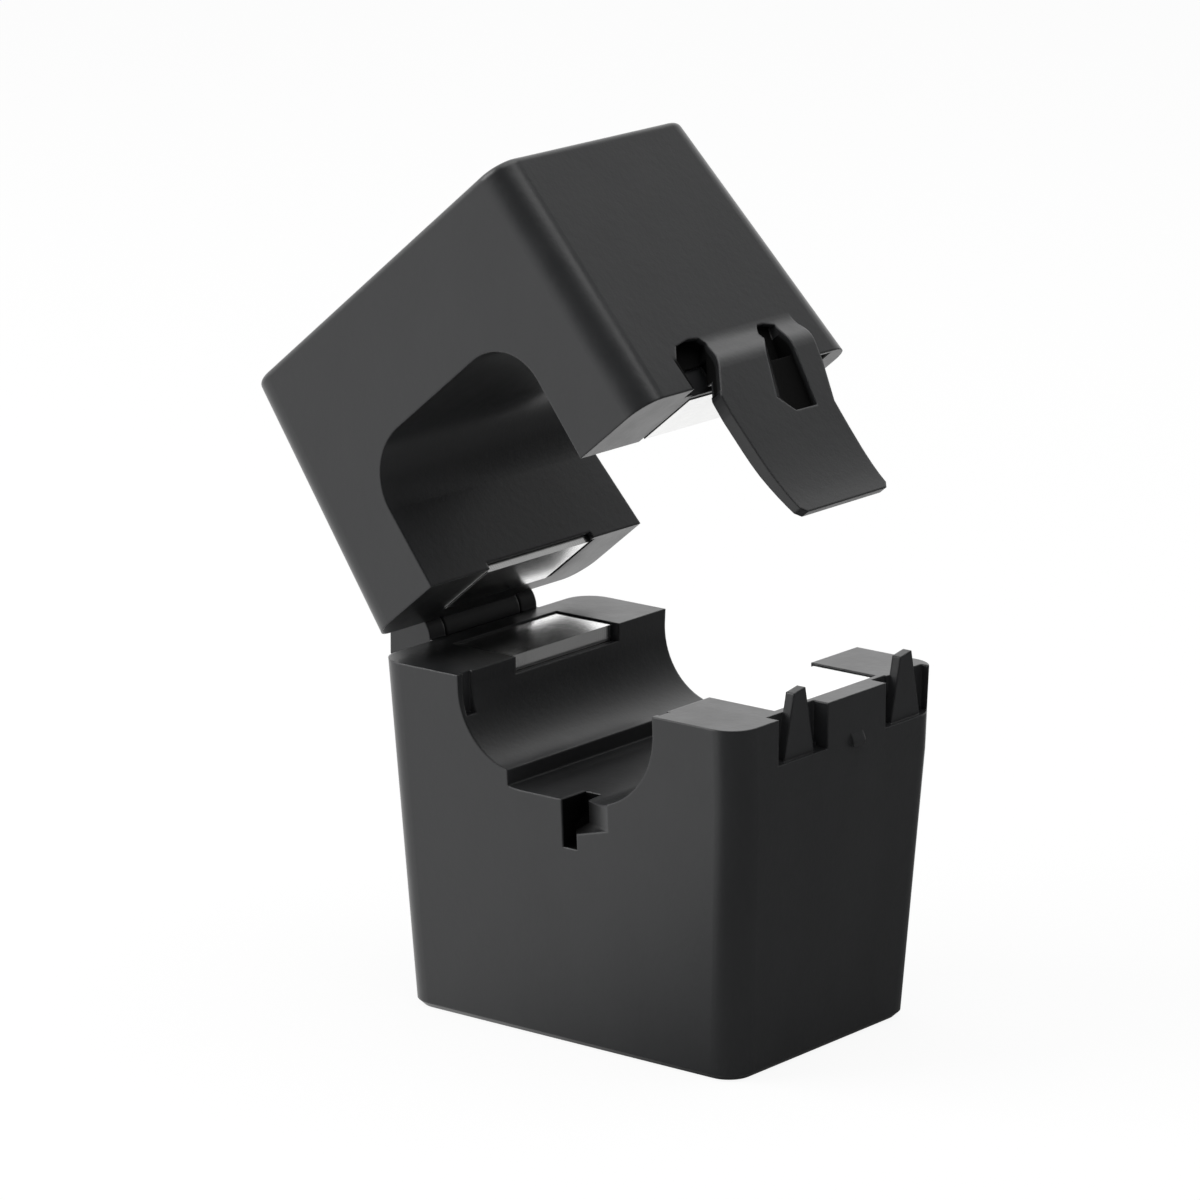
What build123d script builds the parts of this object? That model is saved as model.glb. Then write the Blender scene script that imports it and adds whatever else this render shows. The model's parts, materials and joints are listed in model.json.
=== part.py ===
# Split-core current transformer: a hinged clamp for a conductor of up to 24 mm.
# Millimetres, +Z up, the latch on +X, the front on -Y, the origin at the centre of the bottom.
# The upper half is drawn closed and then swung open about the hinge to the pose in the photo.
from build123d import *

# Housing
WIDTH = 45.0            # across the window, at the parting line
DEPTH = 33.4            # along the conductor, at the parting line
BASE_H = 36.0           # bottom to parting line
COVER_H = 28.5          # parting line to top
DRAFT = 0.055           # inward lean of every outer wall, mm per mm of height
EDGE_R = 3.0            # rounding of the four tall edges
WALL = 1.3
LAND_H = 8.3            # upright part of the latch wall, below the parting line
FACE_T = 1.8            # thickness of the parting faces
RIM = 0.6               # chamfer round the bottom
TOP_R = 0.7             # rounding of the top edge
MID_Y = 0.6             # the core, the hinge and the latch sit this far behind the middle
OPEN_DEG = 40.0         # opening in the photo

# Conductor window
WIN_SIDE = 10.3         # from the outer wall to the arch, each side
TROUGH_STEP = 0.2       # the trough is this much narrower on the left
TROUGH_Z = 25.5         # floor of the trough
WIN_RISE = 14.8         # arch above the parting line
TROUGH_R = (7.5, 8.8)   # rounding of the left and the right corner of the trough
ARCH_R = 6.0
TUBE = 1.2              # wall between the window and the inside
STEP_X = 6.1            # the left foot of the trough is raised as far as this
STEP_H = 1.6
LIP_Y = (0.8, 2.3)      # groove in the trough wall, behind the front face
LIP_T = 0.35
LIP_DOWN = 4.2

# Scoop under the front edge of the trough: a narrow groove that widens into a pocket
DENT_X = 0.6            # its upright left side
DENT_LOW = ((0, 2.0), (0.5, 1.6), (0.9, 1.0), (1.9, -0.1))      # floor as (width, depth)
DENT_HIGH = ((0, 3.8), (2.0, 3.8), (2.3, 1.4), (6.0, -0.1))
DENT_LEVELS = ((-4.9, DENT_LOW), (-3.3, DENT_LOW), (-2.3, DENT_HIGH), (1.0, DENT_HIGH))
DENT_WALL = 1.2         # wall left behind it

# Core halves
CORE_SIDE = 2.5         # from the outer wall to the core, each side
CORE_END = 8.7          # the same along the conductor
CORE_LEG = 7.2
CORE_R = 5.0
CORE_BACK = 0.15        # the lower pole faces sit this far below the parting line
CORE_GAP = 0.05
BAR_Z = 11.0            # underside of the lower core
FIT = 0.1               # clearance beside each core leg
FRONT_GAP, BACK_GAP = 0.2, 0.4
GATE_LOW, GATE_HIGH = 1.8, 0.7      # wall between window and pole, cut away below and above the line
MOUTH = 0.6             # the upper pockets open this much further back at the parting face

# Hinge, outside the -X wall at the parting line
HINGE_OUT = 2.9
BARREL_R = 2.6
PIN_R = 0.8
PIN_PLAY = 0.05
KNUCKLE = 5.8           # half length of the middle knuckle
EAR_0, EAR_1 = 6.1, 8.5 # inner and outer end of each ear, from the middle of the hinge
PIN_END = 0.8           # closed end of the pin hole, at the front
NECK_H = 5.5
EAR_DROP = 6.3
STOP_TOP = 3.35         # stop bar below the hinge axis
STOP_OUT = 1.4

# Latch on +X
FLAP_GAP = 0.15         # between the latch wall and the closed flap
FLAP_T = 1.4
FLAP_DROP = 15.9
FLAP_CURL = 1.2         # the lower end stands this much further out
CURL_DOWN = 7.5         # where the curl starts, below the parting line
FLAP_RAMP = 5.2         # height above the parting line where the flap leaves the wall
# Outlines on the latch side, as (y, height above the parting line)
FLAP_EDGE = ((-4.2, 5.3), (10.6, 5.3), (10.4, 4.0), (8.9, -1.2), (7.1, -5.6), (6.9, -10.0),
             (6.5, -15.3), (5.9, -15.9), (-6.8, -15.9), (-7.4, -15.3), (-7.8, -10.5),
             (-8.1, -4.0), (-8.0, -1.9))
SLOT_EDGE = ((0.8, -5.5), (4.4, -5.5), (6.6, 2.6), (7.6, 4.2), (6.0, 4.9), (4.1, 4.9),
             (2.6, 3.6), (-1.0, -3.6))
SLOT_FLOOR = ((1.7, -5.2), (4.4, -5.5), (6.6, 2.6), (7.4, 4.2), (6.0, 4.7), (5.0, 4.7),
              (3.9, 3.6), (0.9, -3.6))
SLOT_T = 0.75           # depth in the free part of the flap
SLOT_DEEP = 0.9         # depth behind the latch wall, above the parting line
RELIEF_EDGE = ((-9.2, -1.4), (-8.9, 3.4), (-7.8, 4.8), (-5.6, 5.2), (-4.0, 5.0), (-3.6, 4.2),
               (-7.6, -1.4))
BUMP_Y, BUMP_W, BUMP_H, BUMP_OUT = 2.6, 2.0, 1.4, 0.45
BUMP_DOWN = 5.2
CATCH_T = 0.35          # shallow pocket for the bump in the inner face of the flap
CATCH_PLAY = 0.3
PRONG_Y = (-6.1, 11.4)
PRONG_W0, PRONG_W1 = 4.8, 1.8
PRONG_T = 1.0
PRONG_UP, PRONG_DOWN = 2.2, 4.6
RECESS_W, RECESS_T = 8.0, 1.5
SOCKET_W = 3.8          # socket in the cover for each prong tip
SOCKET_UP = 2.6
SOCKET_SKIN = 0.4

# Lid plates
PLATE_T = 1.6
LEDGE = 0.9             # rim left outside each plate
PLATE_PLAY = 0.04

# Winding and electronics
BOB_PLAY = 0.15
BOB_WALL = 0.9
BOB_GAP = 0.1           # between each bobbin flange and the core leg beside it
FLANGE_T = 1.2
WIRE_T = 2.0            # thickness of the wire pack
TAPE_T = 0.25
FLANGE_LIP = 0.7
BOARD_SIDE = 9.5        # from the outer wall to the board, each side
BOARD_END = 4.2         # the same along the conductor
BOARD_T = 1.0
BOARD_Z = 2.6
POST_R, BOARD_POST_R = 1.5, 1.2
PIN_X, PIN_IN = 2.5, 2.0            # output pins, from the middle and from the end of the board
PIN_SQ = 0.64
LEAD_R = 0.3
SPRING_T = 0.4
SPRING_W = 12.0
SPRING_FOOT = 2.0
GROMMET_Z = 8.5
GROMMET_R, GROMMET_LIP, GROMMET_BORE = 2.5, 3.6, 1.5
GROMMET_OUT, GROMMET_IN = 1.2, 0.9  # thickness of the collars outside and inside the wall

PART_Z = BASE_H
TOP_Z = BASE_H + COVER_H
WIN_HALF = WIDTH / 2 - WIN_SIDE
CORE_OUT = WIDTH / 2 - CORE_SIDE
CORE_HALF_D = DEPTH / 2 - CORE_END
HINGE_X = -WIDTH / 2 - HINGE_OUT
LATCH_X = WIDTH / 2
FLAP_IN = LATCH_X + FLAP_GAP
CORE_IN = CORE_OUT - CORE_LEG
BOB_HALF = CORE_IN - BOB_GAP
POCKET_Y = (MID_Y - CORE_HALF_D - FRONT_GAP, MID_Y + CORE_HALF_D + BACK_GAP)


def rounded(x0, x1, y0, y1, z, r):
    """A rounded rectangle lying at height z."""
    return Pos((x0 + x1) / 2, (y0 + y1) / 2, z) * RectangleRounded(x1 - x0, y1 - y0, r)


def stack(levels):
    """A solid through rounded rectangles at rising heights."""
    solid = None
    for low, high in zip(levels, levels[1:]):
        piece = loft([rounded(*low), rounded(*high)], ruled=True)
        solid = piece if solid is None else solid + piece
    return solid


def box(x0, x1, y0, y1, z0, z1):
    return Pos((x0 + x1) / 2, (y0 + y1) / 2, (z0 + z1) / 2) * Box(x1 - x0, y1 - y0, z1 - z0)


def slab_xz(points, y0, y1):
    """A closed outline in XZ, given a length along Y."""
    wire = Polyline(*[(x, y1, z) for x, z in points], close=True)
    return extrude(make_face(wire), amount=y1 - y0, dir=(0, -1, 0))


def slab_yz(points, x0, x1):
    """A closed outline in YZ, given a length along X."""
    wire = Polyline(*[(x0, y, z) for y, z in points], close=True)
    return extrude(make_face(wire), amount=x1 - x0, dir=(1, 0, 0))


def latch_face(outline, x):
    """An outline of the latch side as a face at distance x."""
    return make_face(Polyline(*[(x, y, PART_Z + up) for y, up in outline], close=True))


def latch_slab(outline, x0, x1):
    return extrude(latch_face(outline, x0), amount=x1 - x0, dir=(1, 0, 0))


def rod_y(x, z, r, y0, y1):
    return Pos(x, (y0 + y1) / 2, z) * Rot(90, 0, 0) * Cylinder(r, y1 - y0)


def base_outline(z, inset, r):
    """Outer walls of the base at height z, moved inward by inset."""
    lean = DRAFT * (BASE_H - z)
    latch = DRAFT * max(0.0, BASE_H - LAND_H - z)
    return (-WIDTH / 2 + lean + inset, WIDTH / 2 - latch - inset,
            -DEPTH / 2 + lean + inset, DEPTH / 2 - lean - inset, z, r)


def cover_outline(z, inset, r):
    """Outer walls of the cover at height z, moved inward by inset."""
    lean = DRAFT * (z - PART_Z)
    return (-WIDTH / 2 + lean + inset, WIDTH / 2 - lean - inset,
            -DEPTH / 2 + lean + inset, DEPTH / 2 - lean - inset, z, r)


def front_y(z):
    """The front face of the base at height z."""
    return -DEPTH / 2 + DRAFT * (BASE_H - z)


def trough(grow, y0, y1):
    """The lower half of the window, grown outward, as a solid."""
    solid = box(TROUGH_STEP - WIN_HALF - grow, WIN_HALF + grow, y0, y1, TROUGH_Z - grow, PART_Z + 5)
    for end, radius in zip((0, -1), TROUGH_R):
        low = solid.edges().filter_by(Axis.Y).group_by(Axis.Z)[0].sort_by(Axis.X)
        solid = fillet(low[end], radius + grow)
    return solid


def arch(grow, y0, y1):
    """The upper half of the window, grown outward, as a solid."""
    half = WIN_HALF + grow
    solid = box(-half, half, y0, y1, PART_Z - 5, PART_Z + WIN_RISE + grow)
    edges = solid.edges().filter_by(Axis.Y).group_by(Axis.Z)[-1]
    return fillet(edges, ARCH_R + grow)


def core_half(bar_low, bar_high, pole):
    """A U of core steel whose bar lies between two heights and whose legs end at pole."""
    z0, z1 = min(bar_low, pole), max(bar_high, pole)
    solid = box(-CORE_OUT, CORE_OUT, MID_Y - CORE_HALF_D, MID_Y + CORE_HALF_D, z0, z1)
    if pole > bar_high:
        solid -= box(-CORE_IN, CORE_IN, -DEPTH, DEPTH, bar_high, z1 + 1)
        corners = solid.edges().filter_by(Axis.Y).group_by(Axis.Z)[0]
    else:
        solid -= box(-CORE_IN, CORE_IN, -DEPTH, DEPTH, z0 - 1, bar_low)
        corners = solid.edges().filter_by(Axis.Y).group_by(Axis.Z)[-1]
    return fillet(corners, CORE_R)


def leg_pockets(z0, z1):
    """The two openings through a parting face for the core legs."""
    inner, outer = CORE_IN - FIT, CORE_OUT + FIT
    return box(inner, outer, *POCKET_Y, z0, z1) + box(-outer, -inner, *POCKET_Y, z0, z1)


def gates(z0, z1):
    """Opens the wall between the window and the two pockets."""
    return box(-CORE_IN, CORE_IN, *POCKET_Y, z0, z1)


def leg_guides(z0, z1):
    """Ribs across the housing that hold each core leg front and back."""
    front, back = POCKET_Y
    return (box(-WIDTH / 2, WIDTH / 2, back, back + 1.0, z0, z1)
            + box(-WIDTH / 2, WIDTH / 2, front - 1.0, front, z0, z1))


def opened(shape):
    """Swing a piece of the closed upper half open about the hinge."""
    return shape.rotate(Axis((HINGE_X, 0, PART_Z), (0, -1, 0)), OPEN_DEG)


# Lower housing: drafted shell, parting face, trough
base_outer = stack([base_outline(0, RIM, EDGE_R - RIM), base_outline(RIM, 0, EDGE_R),
                    base_outline(BASE_H - LAND_H, 0, EDGE_R), base_outline(BASE_H, 0, EDGE_R)])
core_top = BASE_H - FACE_T
base_inner = stack([base_outline(PLATE_T, WALL, EDGE_R - WALL),
                    base_outline(BASE_H - LAND_H, WALL, EDGE_R - WALL),
                    base_outline(core_top, WALL, EDGE_R - WALL)])
plate_seat = stack([base_outline(-0.01, LEDGE, EDGE_R - LEDGE),
                    base_outline(PLATE_T, LEDGE, EDGE_R - LEDGE)])
lower_housing = base_outer - base_inner - plate_seat
lower_housing += trough(TUBE, -DEPTH, DEPTH) & (base_outer - plate_seat)
lower_housing += leg_guides(BASE_H - 9.0, core_top) & base_inner
# Ribs that hold the bobbin flanges down
bar_top = BAR_Z + CORE_LEG
flange_top = bar_top + BOB_PLAY + BOB_WALL + WIRE_T + TAPE_T + FLANGE_LIP
for x in (-BOB_HALF + 0.1, BOB_HALF - 1.1):
    lower_housing += box(x, x + 1.0, MID_Y - 6, MID_Y + 6, flange_top + 0.1, core_top) & base_inner
# Thicker wall behind the latch
lower_housing += box(CORE_OUT + FIT, LATCH_X, -DEPTH / 2, DEPTH / 2,
                     BASE_H - PRONG_DOWN - 1.5, core_top) & base_inner
# Thick pad behind the front scoop
lower_housing += box(DENT_X - DENT_WALL, DENT_X + DENT_HIGH[-1][0], -DEPTH / 2 + 1,
                     front_y(TROUGH_Z) + DENT_HIGH[0][1] + DENT_WALL,
                     TROUGH_Z + DENT_LEVELS[0][0] - DENT_WALL, TROUGH_Z) & base_outer
# The trough, less the raised foot along its left side
foot = (box(-WIDTH / 2, -STEP_X, -DEPTH, DEPTH, TROUGH_Z - 1, PART_Z + 5)
        - Pos(0, 0, STEP_H) * trough(0, -DEPTH, DEPTH))
lower_housing -= trough(0, -DEPTH, DEPTH) - foot
lower_housing -= trough(LIP_T, -DEPTH / 2 + LIP_Y[0], -DEPTH / 2 + LIP_Y[1]) - box(
    -WIDTH, WIDTH, -DEPTH, DEPTH, 0, PART_Z - LIP_DOWN)
lower_housing -= leg_pockets(core_top - 10, BASE_H + 1)
lower_housing -= gates(PART_Z - GATE_LOW, PART_Z + 1)


def dent_outline(z, floor):
    """Plan of the front scoop at height z: deep on the left, nothing on the right."""
    inner = [(DENT_X + width, front_y(z) + depth, z) for width, depth in floor]
    return make_face(Polyline((DENT_X, -DEPTH, z), *inner, (inner[-1][0], -DEPTH, z), close=True))


dent_plans = [dent_outline(TROUGH_Z + up, floor) for up, floor in DENT_LEVELS]
for low, high in zip(dent_plans, dent_plans[1:]):
    lower_housing -= loft([low, high], ruled=True)
# Latch side: two recesses, the prongs that stand in them, and the catch bump
prong_in = LATCH_X - RECESS_T
for sign, y in zip((1, -1), PRONG_Y):
    lower_housing -= box(prong_in, LATCH_X + 1, y - RECESS_W / 2, y + RECESS_W / 2,
                         BASE_H - PRONG_DOWN, BASE_H + 1)
    near = y + sign * (RECESS_W / 2 - 1.1)
    lower_housing -= box(prong_in - 0.3, LATCH_X, near - 1.1, near + 1.1,
                         BASE_H - PRONG_DOWN + 0.4, BASE_H + 1)
for y in PRONG_Y:
    lower_housing += slab_yz([(y - PRONG_W0 / 2, BASE_H - PRONG_DOWN),
                              (y + PRONG_W0 / 2, BASE_H - PRONG_DOWN),
                              (y + PRONG_W1 / 2, BASE_H + PRONG_UP),
                              (y - PRONG_W1 / 2, BASE_H + PRONG_UP - 0.3)],
                             prong_in, prong_in + PRONG_T)
bump_z = BASE_H - BUMP_DOWN
lower_housing += slab_xz([(LATCH_X - 0.5, bump_z), (LATCH_X + BUMP_OUT, bump_z),
                          (LATCH_X + BUMP_OUT, bump_z + 0.4), (LATCH_X, bump_z + BUMP_H),
                          (LATCH_X - 0.5, bump_z + BUMP_H)],
                         BUMP_Y - BUMP_W / 2, BUMP_Y + BUMP_W / 2)
# Hinge ears and the stop bar between them
ear_ends = [MID_Y + end for end in (-EAR_1, -EAR_0, EAR_0, EAR_1)]
for y0, y1 in (ear_ends[:2], ear_ends[2:]):
    lower_housing += rod_y(HINGE_X, PART_Z, BARREL_R, y0, y1)
    lower_housing += slab_xz([(HINGE_X - BARREL_R, PART_Z), (-WIDTH / 2 + 0.4, PART_Z),
                              (-WIDTH / 2 + 0.8, PART_Z - EAR_DROP),
                              (-WIDTH / 2 - 0.8, PART_Z - EAR_DROP),
                              (HINGE_X - BARREL_R, PART_Z - 2.2)], y0, y1)
lower_housing += slab_xz([(HINGE_X - STOP_OUT, PART_Z - STOP_TOP), (-WIDTH / 2 + 0.4, PART_Z - STOP_TOP),
                          (-WIDTH / 2 + 0.8, PART_Z - EAR_DROP),
                          (-WIDTH / 2 - 0.8, PART_Z - EAR_DROP)], *ear_ends[1:3])
lower_housing -= rod_y(HINGE_X, PART_Z, PIN_R, ear_ends[0] + PIN_END, DEPTH)
# Round hole for the lead grommet, low in the back wall
lower_housing -= rod_y(0, GROMMET_Z, GROMMET_R, DEPTH / 4, DEPTH)

# Bottom plate with posts under the core and under the board
bottom_cover = stack([base_outline(0, LEDGE + PLATE_PLAY, EDGE_R - LEDGE),
                      base_outline(PLATE_T, LEDGE + PLATE_PLAY, EDGE_R - LEDGE)])
leg_mid = CORE_OUT - CORE_LEG / 2
post_y = CORE_HALF_D - 1.5 - POST_R / 2
board_x = WIDTH / 2 - BOARD_SIDE
board_y = DEPTH / 2 - BOARD_END
for side in (-1, 1):
    for end in (-1, 1):
        bottom_cover += (Pos(side * leg_mid, MID_Y + end * post_y, (PLATE_T + BAR_Z) / 2)
                         * Cylinder(POST_R, BAR_Z - PLATE_T))
        bottom_cover += (Pos(side * (board_x - 1.5), end * (board_y - 1.5), (PLATE_T + BOARD_Z) / 2)
                         * Cylinder(BOARD_POST_R, BOARD_Z - PLATE_T))

# Upper housing, drawn closed
cover_outer = stack([cover_outline(PART_Z, 0, EDGE_R), cover_outline(TOP_Z, 0, EDGE_R)])
cover_outer = fillet(cover_outer.edges().group_by(Axis.Z)[-1], TOP_R)
cover_inner = stack([cover_outline(PART_Z + FACE_T, WALL, EDGE_R - WALL),
                     cover_outline(TOP_Z - PLATE_T, WALL, EDGE_R - WALL)])
lid_seat = stack([cover_outline(TOP_Z - PLATE_T, LEDGE, EDGE_R - LEDGE),
                  cover_outline(TOP_Z + 0.01, LEDGE, EDGE_R - LEDGE)])
upper_housing = cover_outer - cover_inner - lid_seat
upper_housing += arch(TUBE, -DEPTH, DEPTH) & (cover_outer - lid_seat)
upper_housing += leg_guides(PART_Z + FACE_T, PART_Z + 9.0) & cover_inner
upper_housing += box(CORE_OUT + FIT, LATCH_X, -DEPTH / 2, DEPTH / 2,
                     PART_Z + FACE_T, PART_Z + FLAP_RAMP + 1.5) & cover_inner
# Latch flap: it leaves the wall in an S, hangs as a thin tongue and curls outward at its end
flap_out = FLAP_IN + FLAP_T
root_x = LATCH_X - DRAFT * FLAP_RAMP
low_x, low_z = FLAP_IN + FLAP_CURL, PART_Z - FLAP_DROP
profile = [
    Line((root_x - 0.4, 0, PART_Z + FLAP_RAMP), (root_x, 0, PART_Z + FLAP_RAMP)),
    Spline((root_x, 0, PART_Z + FLAP_RAMP), (flap_out, 0, PART_Z + 0.8),
           tangents=[(DRAFT, 0, -1), (0, 0, -1)]),
    Line((flap_out, 0, PART_Z + 0.8), (flap_out, 0, PART_Z - CURL_DOWN)),
    Spline((flap_out, 0, PART_Z - CURL_DOWN), (low_x + FLAP_T - 0.4, 0, low_z),
           tangents=[(0, 0, -1), (0.28, 0, -1)]),
    Line((low_x + FLAP_T - 0.4, 0, low_z), (low_x, 0, low_z)),
    Spline((low_x, 0, low_z), (FLAP_IN, 0, PART_Z - CURL_DOWN),
           tangents=[(-0.28, 0, 1), (0, 0, 1)]),
    Line((FLAP_IN, 0, PART_Z - CURL_DOWN), (FLAP_IN, 0, PART_Z)),
    Line((FLAP_IN, 0, PART_Z), (LATCH_X - 1.0, 0, PART_Z)),
    Line((LATCH_X - 1.0, 0, PART_Z), (root_x - 0.4, 0, PART_Z + FLAP_RAMP)),
]
flap = Pos(0, DEPTH, 0) * extrude(make_face(profile), amount=2 * DEPTH, dir=(0, -1, 0))
upper_housing += flap & latch_slab(FLAP_EDGE, LATCH_X - 3, LATCH_X + 4)
upper_housing -= arch(0, -DEPTH, DEPTH)
upper_housing -= leg_pockets(PART_Z - 1, PART_Z + FACE_T + 10)
upper_housing -= Pos(0, MOUTH, 0) * leg_pockets(PART_Z - 1, PART_Z + FACE_T)
upper_housing -= gates(PART_Z - 1, PART_Z + GATE_HIGH)
# Slot: a blind groove, shallow in the free part and deeper above the parting line
upper_housing -= loft([latch_face(SLOT_FLOOR, flap_out - SLOT_T), latch_face(SLOT_EDGE, flap_out + 0.2)],
                      ruled=True)
upper_housing -= (latch_slab(SLOT_FLOOR, LATCH_X - SLOT_DEEP, flap_out)
                  & box(0, WIDTH, -DEPTH, DEPTH, PART_Z + 0.4, TOP_Z))
# Pocket for the bump in the inner face
upper_housing -= box(FLAP_IN - 0.1, FLAP_IN + CATCH_T,
                     BUMP_Y - BUMP_W / 2 - CATCH_PLAY, BUMP_Y + BUMP_W / 2 + CATCH_PLAY,
                     bump_z - CATCH_PLAY, bump_z + BUMP_H + CATCH_PLAY)
# Relief beside the root of the flap, and the hidden sockets for the prong tips
upper_housing -= latch_slab(RELIEF_EDGE, prong_in, LATCH_X + 4)
for y in PRONG_Y:
    upper_housing -= box(prong_in - 0.3, LATCH_X - SOCKET_SKIN, y - SOCKET_W / 2, y + SOCKET_W / 2,
                         PART_Z - 1, PART_Z + SOCKET_UP)
# Middle knuckle and its square neck
knuckle = (MID_Y - KNUCKLE, MID_Y + KNUCKLE)
upper_housing += rod_y(HINGE_X, PART_Z, BARREL_R, *knuckle)
upper_housing += slab_xz([(HINGE_X - BARREL_R, PART_Z), (-WIDTH / 2 + 0.4, PART_Z),
                          (-WIDTH / 2 + 0.9, PART_Z + NECK_H),
                          (HINGE_X - BARREL_R, PART_Z + NECK_H)], *knuckle)
upper_housing -= rod_y(HINGE_X, PART_Z, PIN_R + PIN_PLAY, knuckle[0] - 0.1, knuckle[1] + 0.1)

top_cover = stack([cover_outline(TOP_Z - PLATE_T, LEDGE + PLATE_PLAY, EDGE_R - LEDGE),
                   cover_outline(TOP_Z, LEDGE + PLATE_PLAY, EDGE_R - LEDGE)])

hinge_pin = rod_y(HINGE_X, PART_Z, PIN_R, ear_ends[0] + PIN_END, ear_ends[3] - 0.2)

# Core halves and the leaf spring that presses the upper one down
pole = BASE_H - CORE_BACK
lower_core = core_half(BAR_Z, bar_top, pole)
upper_bar = PART_Z + WIN_RISE + TUBE + FIT
upper_core = core_half(upper_bar, upper_bar + CORE_LEG, pole + CORE_GAP)
spring_low = upper_bar + CORE_LEG
spring_high = TOP_Z - PLATE_T
spring_end, spring_mid = CORE_OUT - CORE_R, (CORE_OUT - CORE_R) / 3
spring_bend = spring_end - SPRING_FOOT
outline = [(-spring_end, spring_high), (-spring_bend, spring_high),
           (-spring_mid, spring_low + SPRING_T), (spring_mid, spring_low + SPRING_T),
           (spring_bend, spring_high), (spring_end, spring_high),
           (spring_end, spring_high - SPRING_T), (spring_bend + 0.2, spring_high - SPRING_T),
           (spring_mid + 0.2, spring_low), (-spring_mid - 0.2, spring_low),
           (-spring_bend - 0.2, spring_high - SPRING_T), (-spring_end, spring_high - SPRING_T)]
core_spring = slab_xz(outline, MID_Y - SPRING_W / 2, MID_Y + SPRING_W / 2)

# Two-part bobbin round the lower bar, wire pack and tape
bar_mid = (BAR_Z + bar_top) / 2


def bar_block(grow, half_x):
    """A block round the lower bar, grown outward, reaching half_x each way."""
    return Pos(0, MID_Y, bar_mid) * Box(2 * half_x, 2 * (CORE_HALF_D + grow), CORE_LEG + 2 * grow)


tube_grow = BOB_PLAY + BOB_WALL
wire_grow = tube_grow + WIRE_T
tape_grow = wire_grow + TAPE_T
flange_grow = tape_grow + FLANGE_LIP
coil_half = BOB_HALF - FLANGE_T
bobbin = bar_block(flange_grow, BOB_HALF) - (bar_block(flange_grow + 1, coil_half)
                                             - bar_block(tube_grow, coil_half + 1))
bobbin -= bar_block(BOB_PLAY, BOB_HALF + 1)
bobbin_upper = bobbin & box(-WIDTH, WIDTH, -DEPTH, DEPTH, bar_mid, PART_Z)
bobbin_lower = bobbin & box(-WIDTH, WIDTH, -DEPTH, DEPTH, 0, bar_mid)
winding = bar_block(wire_grow, coil_half) - bar_block(tube_grow, coil_half + 1)
winding_tape = bar_block(tape_grow, coil_half) - bar_block(wire_grow, coil_half + 1)

# Board on its posts, with the burden resistor, the clamp diode and the output pins
board_top = BOARD_Z + BOARD_T
circuit_board = box(-board_x, board_x, -board_y, board_y, BOARD_Z, board_top)
burden_resistor = Pos(-5.5, 0, board_top + 0.35) * Box(6.3, 3.2, 0.7)
clamp_diode = Pos(5.0, 0, board_top + 1.1) * Box(4.3, 2.7, 2.2)
pins = []
for x in (-PIN_X, PIN_X):
    y = board_y - PIN_IN
    circuit_board -= Pos(x, y, BOARD_Z) * Box(PIN_SQ + 0.1, PIN_SQ + 0.1, 5)
    pins.append(Pos(x, y, BOARD_Z + 1.4) * Box(PIN_SQ, PIN_SQ, 3.6))
coil_bottom = BAR_Z - tape_grow
leads = [Pos(x, MID_Y - CORE_HALF_D, (board_top + coil_bottom) / 2)
         * Cylinder(LEAD_R, coil_bottom - board_top) for x in (2 - coil_half, coil_half - 2)]

# Lead grommet: a collar outside and a collar inside the back wall
wall_back = DEPTH / 2 - DRAFT * (BASE_H - GROMMET_Z)
inside = wall_back - WALL - GROMMET_IN
outside = wall_back + GROMMET_OUT
lead_grommet = rod_y(0, GROMMET_Z, GROMMET_R, inside, outside)
lead_grommet += rod_y(0, GROMMET_Z, GROMMET_LIP, wall_back - 0.3, outside)
lead_grommet += rod_y(0, GROMMET_Z, GROMMET_LIP - 0.4, inside, wall_back - WALL + 0.3)
lead_grommet -= rod_y(0, GROMMET_Z, GROMMET_BORE, 0, DEPTH)
lead_grommet -= lower_housing

nodes = {
    "lower_housing": lower_housing, "bottom_cover": bottom_cover, "hinge_pin": hinge_pin,
    "lower_core": lower_core, "bobbin_upper": bobbin_upper, "bobbin_lower": bobbin_lower,
    "winding": winding, "winding_tape": winding_tape, "circuit_board": circuit_board,
    "burden_resistor": burden_resistor, "clamp_diode": clamp_diode,
    "output_pin_1": pins[0], "output_pin_2": pins[1],
    "winding_lead_1": leads[0], "winding_lead_2": leads[1], "lead_grommet": lead_grommet,
    "upper_housing": opened(upper_housing), "top_cover": opened(top_cover),
    "upper_core": opened(upper_core), "core_spring": opened(core_spring),
}
for name, shape in nodes.items():
    export_step(shape, f"parts/{name}.step")
    print(name, round(shape.volume, 2), len(shape.solids()))
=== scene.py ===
import json
import math
import bpy
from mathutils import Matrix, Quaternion, Vector


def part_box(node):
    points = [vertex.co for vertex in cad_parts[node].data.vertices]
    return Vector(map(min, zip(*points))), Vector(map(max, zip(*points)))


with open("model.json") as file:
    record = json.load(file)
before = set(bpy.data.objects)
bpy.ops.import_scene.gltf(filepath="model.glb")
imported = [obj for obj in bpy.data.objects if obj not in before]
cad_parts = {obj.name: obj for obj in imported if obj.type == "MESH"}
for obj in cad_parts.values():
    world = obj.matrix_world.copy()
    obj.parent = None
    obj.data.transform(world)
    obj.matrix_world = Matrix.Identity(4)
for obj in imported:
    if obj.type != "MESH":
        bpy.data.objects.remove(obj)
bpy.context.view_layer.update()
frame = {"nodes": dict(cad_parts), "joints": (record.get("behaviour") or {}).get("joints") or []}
NODES = frame["nodes"]
MM = 0.001

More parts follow.
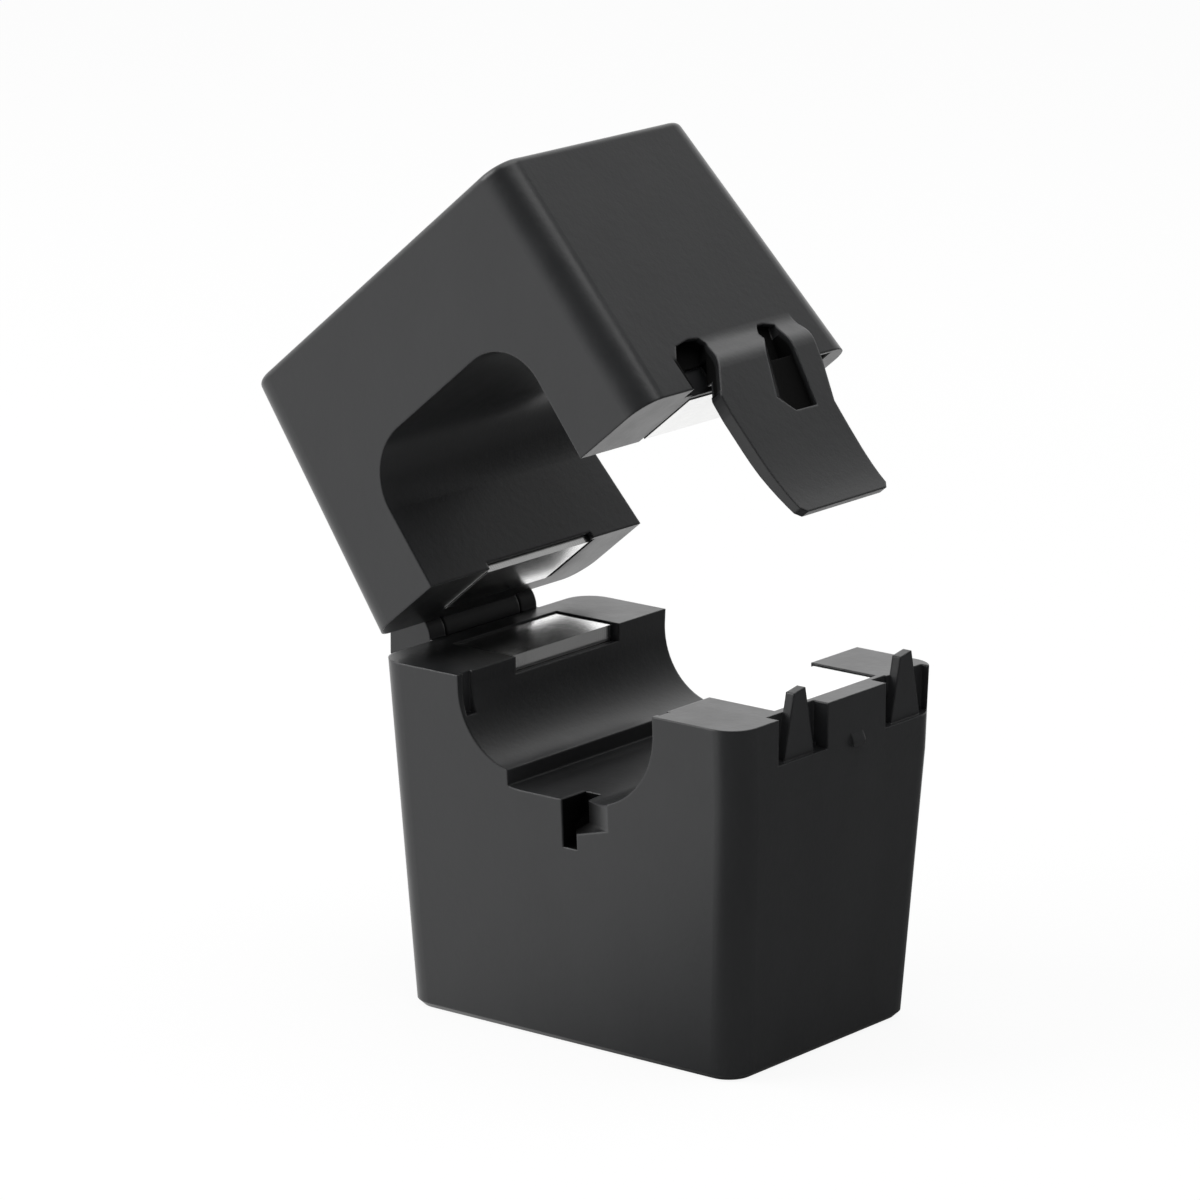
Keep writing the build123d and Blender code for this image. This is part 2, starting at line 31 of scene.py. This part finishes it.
# View, solved from the straight edges of the photograph
AZIMUTH, ELEVATION, ROLL = 38.223, 14.799, 0.135     # degrees
DISTANCE = 654.1 * MM
AIM = Vector((-6.656, 0.0, 37.804)) * MM
OFFSET_RIGHT, OFFSET_UP = -0.55 * MM, 3.25 * MM      # from AIM to the middle of the frame
LENS, SENSOR = 196.94, 36.0                          # in millimetres, as Blender takes them

# Studio: a white sweep behind and to the left, a dark room to the right and behind the camera
AMBIENT = 0.40                                       # light of the room on matt surfaces
BACKDROP = 1.03                                      # white, as the camera sees it
ROOM_WHITE, FLOOR_WHITE = 1.2, 1.02                  # how bright the white sides are mirrored
ROOM_DARK = 0.05                                     # and the dark side
ROOM_TURN = (-0.8, 0.3, 0.0)                         # the direction that grows brighter
ROOM_RANGE = (-0.33, 0.56)                           # along ROOM_TURN, dark to white
FLOOR_RANGE = (25 * MM, -30 * MM)                    # along X, dark to white in mirrored light: painted shade on the floor's +X side
FLOOR_COLOUR = (0.86, 0.86, 0.86)
FLOOR_SHADOW = 0.12                                  # share of the floor that shows real light
FLOOR_HALF = 6.0
LAMP_AIM = Vector((0, 0, 40 * MM))
LAMP_REACH = 0.7
LAMPS = (("key", -50, 35, 0.5, 2.85),                # azimuth, elevation, side and watts
         ("top", 150, 78, 0.6, 2.0))

# Where painted shade goes in the latch flap's slot and relief, as the flap lies when closed: X from
# the middle of the part, heights from the parting
COVER_HINGE = frame["joints"][0]
PART_Z = COVER_HINGE["pos_m"][2]
CLOSED = math.radians(COVER_HINGE["range_deg"][0])
FLAP_FACE = 24.05 * MM                               # outer face of its free part
WALL_FACE = 22.2 * MM                                # outer face where it meets the wall
FLAP_RAMP = (0.8 * MM, 5.2 * MM)                     # heights of the S between those two
FLAP_BACK, WALL_BACK = 22.9 * MM, 20.9 * MM          # nothing further in is shaded
WALL_LOW = 0.1 * MM                                  # height where the wall behind the flap starts
LATCH_SHADE = (0.2 * MM, 0.7 * MM)                   # depth at which the shade starts and is full
LATCH_HEIGHTS = (-5.7 * MM, 5.2 * MM)                # of both hollows
SLOT_SIDES, SLOT_LEAN = (-1.3 * MM, 6.0 * MM), 0.27  # the right side leans with the height
RELIEF_SIDES, RELIEF_LOW = (-9.3 * MM, -3.4 * MM), -1.6 * MM

# Painted shade in the scoop in the front of the lower half
FRONT_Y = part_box("lower_housing")[0][1]              # the front wall at the parting
DRAFT = 0.055                                        # lean of the front wall
SCOOP_SHADE = (0.05 * MM, 0.3 * MM)                  # depth at which the shade starts and is full
SCOOP_HEIGHTS = (20.5 * MM, 25.4 * MM)               # from the floor
SCOOP_LEFT, SCOOP_BACK = 0.55 * MM, -12.0 * MM
SCOOP_FADE = (2.6 * MM, 6.4 * MM)                    # along X, full shade to none

# Painted shade: deep in these hollows the plastic is painted black, with no reflection, and made
# matt
HOLLOW_PAINTED_SHADE = (0.004, 0.004, 0.004)
HOLLOW_ROUGHNESS = 0.85

MIX_FIRST, MIX_SECOND, MIX_RESULT = 6, 7, 2          # the colour sockets of Blender's mix node
WAVES = 20 / math.tau                                # stripes per metre of a wave texture of scale 1


def direction(azimuth, elevation):
    """Unit vector from the part towards a viewer or a lamp; azimuth 0 is in front, on -Y."""
    a, e = math.radians(azimuth), math.radians(elevation)
    return Vector((math.sin(a) * math.cos(e), -math.cos(a) * math.cos(e), math.sin(e)))


def add_object(name, data):
    new = bpy.data.objects.new(name, data)
    bpy.context.scene.collection.objects.link(new)
    return new


def add_camera():
    data = bpy.data.cameras.new("camera")
    data.lens, data.sensor_width, data.sensor_fit = LENS, SENSOR, "HORIZONTAL"
    camera = add_object("camera", data)
    camera.location = AIM + direction(AZIMUTH, ELEVATION) * DISTANCE
    sight = (AIM - camera.location).normalized()
    right = sight.cross(Vector((0, 0, 1))).normalized()
    middle = AIM + right * OFFSET_RIGHT + right.cross(sight) * OFFSET_UP
    camera.rotation_mode = "QUATERNION"
    upright = (middle - camera.location).to_track_quat("-Z", "Y")
    camera.rotation_quaternion = upright @ Quaternion((0, 0, 1), math.radians(ROLL))
    bpy.context.scene.camera = camera


def add_lamp(name, azimuth, elevation, side, power):
    data = bpy.data.lights.new(name, "AREA")
    data.shape, data.size, data.energy = "SQUARE", side, power
    lamp = add_object(name, data)
    lamp.location = LAMP_AIM + direction(azimuth, elevation) * LAMP_REACH
    lamp.rotation_euler = (LAMP_AIM - lamp.location).to_track_quat("-Z", "Y").to_euler()


class Graph:
    """A node tree with short calls to add and join its nodes."""

    def __init__(self, tree):
        self.tree = tree
        tree.nodes.clear()

    def add(self, kind, inputs=None, **settings):
        node = self.tree.nodes.new(kind)
        for key, value in settings.items():
            setattr(node, key, value)
        for key, value in (inputs or {}).items():
            socket = node.inputs[key]
            if isinstance(value, bpy.types.NodeSocket):
                self.tree.links.new(value, socket)
            else:
                socket.default_value = value
        return node

    def place(self, stretch=(1, 1, 1)):
        """Position in the part's own frame, stretched along each axis."""
        where = self.add("ShaderNodeTexCoord").outputs["Object"]
        return self.add("ShaderNodeMapping", {"Vector": where, "Scale": stretch}).outputs[0]

    def axes(self, vector):
        apart = self.add("ShaderNodeSeparateXYZ", {0: vector}).outputs
        return apart["X"], apart["Y"], apart["Z"]

    def noise(self, scale, detail=3.0, roughness=0.55, stretch=(1, 1, 1)):
        return self.add("ShaderNodeTexNoise", {
            "Vector": self.place(stretch), "Scale": scale, "Detail": detail,
            "Roughness": roughness}).outputs["Fac"]

    def stripes(self, axis, pitch, distortion, detail=2.0, detail_scale=1.0):
        """Soft stripes of one pitch across an axis, from 0 to 1 and back."""
        return self.add("ShaderNodeTexWave", {
            "Vector": self.place(), "Scale": 1 / (pitch * WAVES), "Distortion": distortion,
            "Detail": detail, "Detail Scale": detail_scale},
            wave_type="BANDS", bands_direction=axis).outputs["Fac"]

    def spread(self, value, low, high, start=0.35, end=0.65):
        """Turn a noise value into a number between low and high."""
        return self.add("ShaderNodeMapRange", {
            "Value": value, "From Min": start, "From Max": end,
            "To Min": low, "To Max": high}).outputs[0]

    def ease(self, value, start, end, low=0.0, high=1.0):
        """Low at start, high at end and beyond, with a soft step between."""
        return self.add("ShaderNodeMapRange", {
            "Value": value, "From Min": start, "From Max": end,
            "To Min": low, "To Max": high}, interpolation_type="SMOOTHSTEP").outputs[0]

    def blend(self, factor, first, second):
        return self.add("ShaderNodeMix", {
            "Factor": factor, MIX_FIRST: first, MIX_SECOND: second},
            data_type="RGBA").outputs[MIX_RESULT]

    def calc(self, operation, first, second):
        return self.add("ShaderNodeMath", {0: first, 1: second}, operation=operation).outputs[0]

    def product(self, *factors):
        result = factors[0]
        for factor in factors[1:]:
            result = self.calc("MULTIPLY", result, factor)
        return result

    def above(self, value, limit):
        return self.calc("GREATER_THAN", value, limit)

    def between(self, value, low, high):
        """1 between low and high, else 0."""
        return self.product(self.above(value, low), self.calc("LESS_THAN", value, high))

    def rounded_edges(self, radius):
        """Normals that run smoothly over every sharp edge, as on a moulded part."""
        return self.add("ShaderNodeBevel", {"Radius": radius}, samples=6).outputs[0]

    def bump(self, height, depth, strength, under=None):
        inputs = {"Height": height, "Distance": depth, "Strength": strength}
        if under is not None:
            inputs["Normal"] = under
        return self.add("ShaderNodeBump", inputs).outputs[0]


def colour(r, g, b):
    return (r, g, b, 1.0)


WHITE, BLACK = colour(1, 1, 1), colour(0, 0, 0)


def new_graph(name):
    material = bpy.data.materials.new(name)
    material.use_nodes = True
    graph = Graph(material.node_tree)
    graph.material = material
    return graph


def surface(g, base, roughness, normal, **more):
    """Close a material and return it; more holds other sockets, with _ for each space."""
    inputs = {"Base Color": base, "Roughness": roughness, "Normal": normal}
    inputs.update({key.replace("_", " "): value for key, value in more.items()})
    shader = g.add("ShaderNodeBsdfPrincipled", inputs)
    g.add("ShaderNodeOutputMaterial", {"Surface": shader.outputs[0]})
    return g.material


def latch_painted_shade(g):
    """Painted shade: 1 deep in the slot and the relief of the latch flap, 0 on its outer face."""
    where = g.add("ShaderNodeTexCoord").outputs["Object"]
    closed = g.add("ShaderNodeVectorRotate", {
        "Vector": where, "Center": COVER_HINGE["pos_m"], "Axis": COVER_HINGE["axis"],
        "Angle": CLOSED}).outputs[0]
    x, y, z = g.axes(closed)
    up = g.calc("SUBTRACT", z, PART_Z)
    face = g.ease(up, *FLAP_RAMP, FLAP_FACE, WALL_FACE)
    deep = g.ease(g.calc("SUBTRACT", face, x), *LATCH_SHADE)
    slot_left, slot_right = SLOT_SIDES
    leant_back = g.calc("SUBTRACT", y, g.calc("MULTIPLY", up, SLOT_LEAN))
    slot = g.product(g.above(y, slot_left), g.calc("LESS_THAN", leant_back, slot_right))
    relief = g.product(g.between(y, *RELIEF_SIDES), g.above(up, RELIEF_LOW))
    painted_shade_area = g.product(g.calc("MAXIMUM", slot, relief), g.between(up, *LATCH_HEIGHTS))
    outside = g.product(g.calc("MAXIMUM", g.above(x, FLAP_BACK), g.above(up, WALL_LOW)),
                        g.above(x, WALL_BACK))
    return g.product(deep, painted_shade_area, outside)


def scoop_painted_shade(g):
    """Painted shade: 1 on the left of the scoop in the front, fading to 0 where it runs out on the
    right.
    """
    x, y, z = g.axes(g.place())
    front = g.calc("SUBTRACT", FRONT_Y + DRAFT * PART_Z, g.calc("MULTIPLY", z, DRAFT))
    deep = g.ease(g.calc("SUBTRACT", y, front), *SCOOP_SHADE)
    fade = g.ease(x, *SCOOP_FADE, 1.0, 0.0)
    return g.product(deep, fade, g.above(x, SCOOP_LEFT), g.calc("LESS_THAN", y, SCOOP_BACK),
                     g.between(z, *SCOOP_HEIGHTS))


def moulded_plastic(name, dark, light, grain, depth, rough, edge=0.1 * MM, painted_shade_area=None):
    """Plastic from a spark-eroded mould: fine grain, faint flow marks and uneven gloss. Where a mask
    of hollows is given, painted shade there: black, matt and without reflection.
    """
    g = new_graph(name)
    flow = g.spread(g.noise(scale=90, detail=4, roughness=0.6, stretch=(1, 1, 0.45)), 0, 1)
    base = g.blend(flow, colour(*dark), colour(*light))
    fine = g.noise(scale=grain, detail=2, roughness=0.6)
    cells = g.noise(scale=grain * 0.35, detail=2, roughness=0.5)
    coarse = g.bump(cells, depth * 2, strength=0.5, under=g.rounded_edges(edge))
    normal = g.bump(fine, depth, strength=0.6, under=coarse)
    gloss = g.spread(g.noise(scale=260, detail=3, roughness=0.6), *rough)
    if painted_shade_area is None:
        return surface(g, base, gloss, normal)
    # Painted shade: the hollows are painted black and their reflection is tinted out
    painted_dark = painted_shade_area(g)
    base = g.blend(painted_dark, base, colour(*HOLLOW_PAINTED_SHADE))
    reflection_painted_out = g.blend(painted_dark, WHITE, BLACK)
    gloss = g.calc("MAXIMUM", gloss, g.calc("MULTIPLY", painted_dark, HOLLOW_ROUGHNESS))
    return surface(g, base, gloss, normal, Specular_Tint=reflection_painted_out)


def drawn_metal(name, base, shade, lines, rough, along):
    """Metal that is cut, lapped or drawn: fine parallel lines and a mottled sheen."""
    g = new_graph(name)
    scratch = g.noise(scale=lines, detail=3, roughness=0.7, stretch=along)
    cloud = g.spread(g.noise(scale=160), 0, 1)
    tone = g.blend(cloud, colour(*base), colour(*shade))
    gloss = g.spread(scratch, *rough)
    return surface(g, tone, gloss, g.bump(scratch, 0.01 * MM, strength=0.5), Metallic=1.0)


def laminated_steel(name, pitch=0.35 * MM):
    """A stack of thin steel sheets along Y, with a slightly duller line between sheets."""
    g = new_graph(name)
    sheets = g.stripes("Y", pitch, distortion=0.6, detail_scale=3.0)
    cloud = g.spread(g.noise(scale=220, detail=4, roughness=0.6), 0, 1)
    steel = g.blend(cloud, colour(0.95, 0.95, 0.94), colour(0.90, 0.90, 0.90))
    gap = g.spread(sheets, 1, 0, start=0.0, end=0.16)
    tone = g.blend(gap, steel, colour(0.80, 0.80, 0.79))
    lapped = g.noise(scale=500, detail=3, roughness=0.7, stretch=(25, 1, 1))
    gloss = g.spread(lapped, 0.13, 0.22)
    return surface(g, tone, gloss, g.bump(sheets, 0.004 * MM, strength=0.3), Metallic=1.0)


def wound_wire(name, pitch=0.28 * MM):
    """Enamelled copper laid in close turns along X."""
    g = new_graph(name)
    turns = g.stripes("X", pitch, distortion=0.4, detail=1.0)
    # Each turn is painted dark where it meets the next: painted shade between the turns
    tone = g.blend(turns, colour(0.20, 0.065, 0.02), colour(0.62, 0.24, 0.09))
    return surface(g, tone, 0.32, g.bump(turns, 0.12 * MM, strength=0.9), Metallic=0.85)


def tape_film(name):
    """Thin yellow polyester tape, with the wire's turns showing through as faint ridges."""
    g = new_graph(name)
    ridges = g.noise(scale=700, detail=2, roughness=0.5, stretch=(1, 0.1, 0.1))
    tone = g.blend(g.spread(ridges, 0, 1), colour(0.62, 0.40, 0.05), colour(0.74, 0.52, 0.09))
    gloss = g.spread(g.noise(scale=300, detail=2), 0.18, 0.34)
    return surface(g, tone, gloss, g.bump(ridges, 0.05 * MM, strength=0.5))


def board_laminate(name, pitch=3.49 * MM):
    """Solder mask over woven glass."""
    g = new_graph(name)
    weave = g.product(*[g.stripes(axis, pitch, distortion=0.3) for axis in "XY"])
    tone = g.blend(weave, colour(0.012, 0.085, 0.030), colour(0.020, 0.125, 0.045))
    gloss = g.spread(weave, 0.24, 0.36, start=0, end=1)
    return surface(g, tone, gloss, g.bump(weave, 0.02 * MM, strength=0.4))


def rubber(name):
    g = new_graph(name)
    dust = g.spread(g.noise(scale=500, detail=4, roughness=0.6), 0, 1)
    tone = g.blend(dust, colour(0.018, 0.018, 0.018), colour(0.036, 0.035, 0.034))
    gloss = g.spread(g.noise(scale=900), 0.6, 0.8)
    return surface(g, tone, gloss, g.bump(g.noise(scale=2500), 0.02 * MM, strength=0.6))


def paint(material, *names):
    for name in names:
        for slot in NODES[name].material_slots:
            slot.material = material


def paint_housings():
    look = {"dark": (0.0200, 0.0206, 0.0218), "light": (0.0232, 0.0240, 0.0252),
            "grain": 3600, "depth": 0.012 * MM, "rough": (0.28, 0.33), "edge": 0.3 * MM}
    paint(moulded_plastic("plate_plastic", **look), "bottom_cover", "top_cover")
    paint(moulded_plastic("lower_plastic", **look, painted_shade_area=scoop_painted_shade), "lower_housing")
    paint(moulded_plastic("upper_plastic", **look, painted_shade_area=latch_painted_shade), "upper_housing")


def paint_metals():
    paint(laminated_steel("core_steel"), "lower_core", "upper_core")
    paint(drawn_metal("pin_steel", base=(0.55, 0.55, 0.55), shade=(0.46, 0.46, 0.46),
                      lines=900, rough=(0.2, 0.34), along=(1, 0.05, 1)), "hinge_pin")
    paint(drawn_metal("spring_steel", base=(0.60, 0.60, 0.59), shade=(0.50, 0.50, 0.49),
                      lines=900, rough=(0.22, 0.38), along=(0.05, 1, 1)), "core_spring")
    paint(drawn_metal("tinned_brass", base=(0.68, 0.67, 0.63), shade=(0.58, 0.57, 0.52),
                      lines=1200, rough=(0.25, 0.4), along=(1, 1, 0.08)),
          "output_pin_1", "output_pin_2")
    paint(wound_wire("magnet_wire"), "winding", "winding_lead_1", "winding_lead_2")


def paint_insulation():
    paint(moulded_plastic("bobbin_plastic", dark=(0.55, 0.52, 0.45), light=(0.61, 0.58, 0.51),
                          grain=2600, depth=0.02 * MM, rough=(0.4, 0.55)),
          "bobbin_upper", "bobbin_lower")
    paint(moulded_plastic("chip_body", dark=(0.02, 0.02, 0.022), light=(0.03, 0.03, 0.032),
                          grain=5000, depth=0.01 * MM, rough=(0.36, 0.5)),
          "burden_resistor", "clamp_diode")
    paint(tape_film("polyester_tape"), "winding_tape")
    paint(board_laminate("board"), "circuit_board")
    paint(rubber("grommet_rubber"), "lead_grommet")


def seen_light(g, value, limits, white):
    """The studio as the camera sees it or a surface mirrors it: how much of it shows, how bright.

    Along value, what is mirrored goes from the dark side to the white side within limits.
    """
    path = g.add("ShaderNodeLightPath").outputs
    mirror = g.ease(value, *limits, ROOM_DARK, white)
    clear = g.calc("MAXIMUM", path["Is Camera Ray"], path["Is Transmission Ray"])
    seen = g.calc("MAXIMUM", clear, path["Is Glossy Ray"])
    strength = g.calc("MAXIMUM", g.calc("MULTIPLY", clear, BACKDROP),
                      g.calc("MULTIPLY", path["Is Glossy Ray"], mirror))
    return seen, strength


def add_world():
    world = bpy.data.worlds.new("studio")
    world.use_nodes = True
    g = Graph(world.node_tree)
    way = g.add("ShaderNodeTexCoord").outputs["Generated"]
    side = g.add("ShaderNodeVectorMath", {0: way, 1: ROOM_TURN}, operation="DOT_PRODUCT")
    seen, strength = seen_light(g, side.outputs["Value"], ROOM_RANGE, ROOM_WHITE)
    soft = g.add("ShaderNodeBackground", {"Color": WHITE, "Strength": AMBIENT})
    white = g.add("ShaderNodeBackground", {"Color": WHITE, "Strength": strength})
    mix = g.add("ShaderNodeMixShader", {0: seen, 1: soft.outputs[0], 2: white.outputs[0]})
    g.add("ShaderNodeOutputWorld", {"Surface": mix.outputs[0]})
    bpy.context.scene.world = world


def add_floor():
    mesh = bpy.data.meshes.new("floor")
    corners = [(x * FLOOR_HALF, y * FLOOR_HALF, 0) for x, y in ((-1, -1), (1, -1), (1, 1), (-1, 1))]
    mesh.from_pydata(corners, [], [(0, 1, 2, 3)])
    floor = add_object("floor", mesh)
    g = new_graph("floor")
    across = g.axes(g.place())[0]
    # Mirrors see the floor painted dark on its +X side and white on its -X side: painted shade, not
    # the light that falls on it
    seen, strength = seen_light(g, across, FLOOR_RANGE, FLOOR_WHITE)
    real = g.add("ShaderNodeBsdfDiffuse", {"Color": colour(*FLOOR_COLOUR)})
    white = g.add("ShaderNodeEmission", {"Color": WHITE, "Strength": strength})
    share = g.calc("MULTIPLY", seen, 1 - FLOOR_SHADOW)
    mix = g.add("ShaderNodeMixShader", {0: share, 1: real.outputs[0], 2: white.outputs[0]})
    g.add("ShaderNodeOutputMaterial", {"Surface": mix.outputs[0]})
    mesh.materials.append(g.material)


add_camera()
add_world()
add_floor()
for lamp in LAMPS:
    add_lamp(*lamp)
paint_housings()
paint_metals()
paint_insulation()

bpy.context.scene.view_settings.view_transform = "Standard"
